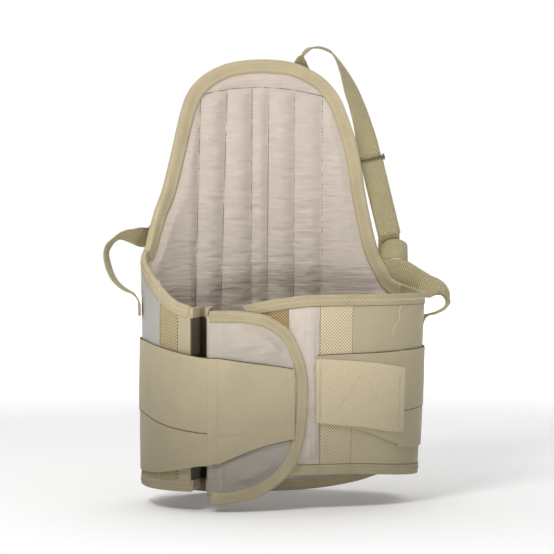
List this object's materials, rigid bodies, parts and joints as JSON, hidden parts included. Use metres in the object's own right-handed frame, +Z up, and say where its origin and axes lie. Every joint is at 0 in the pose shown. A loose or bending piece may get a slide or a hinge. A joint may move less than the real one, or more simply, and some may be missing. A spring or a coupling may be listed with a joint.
{
  "type": "lumbar support belt",
  "caption": "Wrap-round lumbar support belt with a tall stayed back panel, overlapping front closure, wide elastic pull straps and shoulder straps with slide adjusters.",
  "frame": {"origin": "middle of the whole object's box, at the height of the back hem it stands on", "axes": "+Z up as worn, -Y towards the front closure, +X towards the side whose front lies underneath"},
  "size_m": [0.3824, 0.2104, 0.4808],
  "materials": {
    "satin": "satin",
    "cover_cloth": "matt",
    "foam": "matt",
    "tape": "matt",
    "elastic": "matt",
    "mesh": "matt",
    "hook": "matt",
    "pile": "matt",
    "webbing": "matt",
    "side_cloth": "satin",
    "stay_steel": "satin",
    "adjuster_steel": "satin"
  },
  "bodies": {
    "brace": {"back_panel_cover": "cover_cloth", "back_panel_padding": "foam", "back_panel_lining": "satin", "back_panel_tape": "tape", "back_hem_tape": "tape", "outer_left_stay": "stay_steel", "inner_left_stay": "stay_steel", "inner_right_stay": "stay_steel", "outer_right_stay": "stay_steel", "left_side_panel": "side_cloth", "left_side_top_tape": "tape", "left_side_hem_tape": "tape", "right_side_panel": "elastic", "right_side_top_tape": "tape", "right_side_hem_tape": "tape", "left_strap_root": "elastic", "right_strap_root": "elastic", "right_strap_upper": "webbing", "right_strap_return": "webbing", "right_strap_curl": "webbing", "right_strap_lower": "webbing", "left_strap_upper": "webbing", "left_strap_return": "webbing", "left_strap_lower": "webbing"},
    "left_front": {"left_mesh_strip": "mesh", "left_elastic_strip": "elastic", "left_front_top_tape": "tape", "left_front_hem_tape": "tape", "left_inward_fold": "side_cloth", "left_flap": "satin", "left_flap_tape": "tape", "left_flap_hook": "hook", "left_strap_upper_band": "elastic", "left_strap_lower_band": "elastic"},
    "right_front": {"right_elastic_panel": "elastic", "right_mesh_strip": "mesh", "right_underlap": "satin", "right_loop_field": "mesh", "right_front_top_tape": "tape", "right_front_hem_tape": "tape", "right_strap_upper_band": "elastic", "right_strap_lower_band": "elastic"},
    "left_strap_end": {"left_tab": "elastic", "left_tab_hook": "hook"},
    "right_strap_end": {"right_tab": "elastic", "right_tab_pile": "pile"},
    "right_slider": {"right_adjuster": "adjuster_steel"},
    "left_slider": {"left_adjuster": "adjuster_steel"}
  },
  "joints": [
    {"name": "left_front_opens", "type": "hinge", "parent": "brace", "child": "left_front", "pos_m": [-0.15282, -0.04085, 0.1], "axis": [0, 0, -1], "range_deg": [0, 105]},
    {"name": "right_front_opens", "type": "hinge", "parent": "brace", "child": "right_front", "pos_m": [0.13758, -0.03965, 0.1], "axis": [0, 0, 1], "range_deg": [0, 31.5]},
    {"name": "left_tab_peels", "type": "hinge", "parent": "left_front", "child": "left_strap_end", "pos_m": [-0.10406, -0.09293, 0.11], "axis": [0, 0, -1], "range_deg": [0, 95]},
    {"name": "right_tab_peels", "type": "hinge", "parent": "right_front", "child": "right_strap_end", "pos_m": [0.10204, -0.08103, 0.11], "axis": [0, 0, 1], "range_deg": [0, 95]},
    {"name": "right_adjuster_slides", "type": "slide", "parent": "brace", "child": "right_slider", "axis": [0.2206, -0.088, -0.9714], "range_m": [-0.008, 0.055]},
    {"name": "left_adjuster_slides", "type": "slide", "parent": "brace", "child": "left_slider", "axis": [-0.3127, -0.0232, -0.9496], "range_m": [-0.008, 0.055]}
  ],
  "couplings": [
    {"joint": "right_front_opens", "follows": "left_front_opens", "ratio": 0.3}
  ]
}
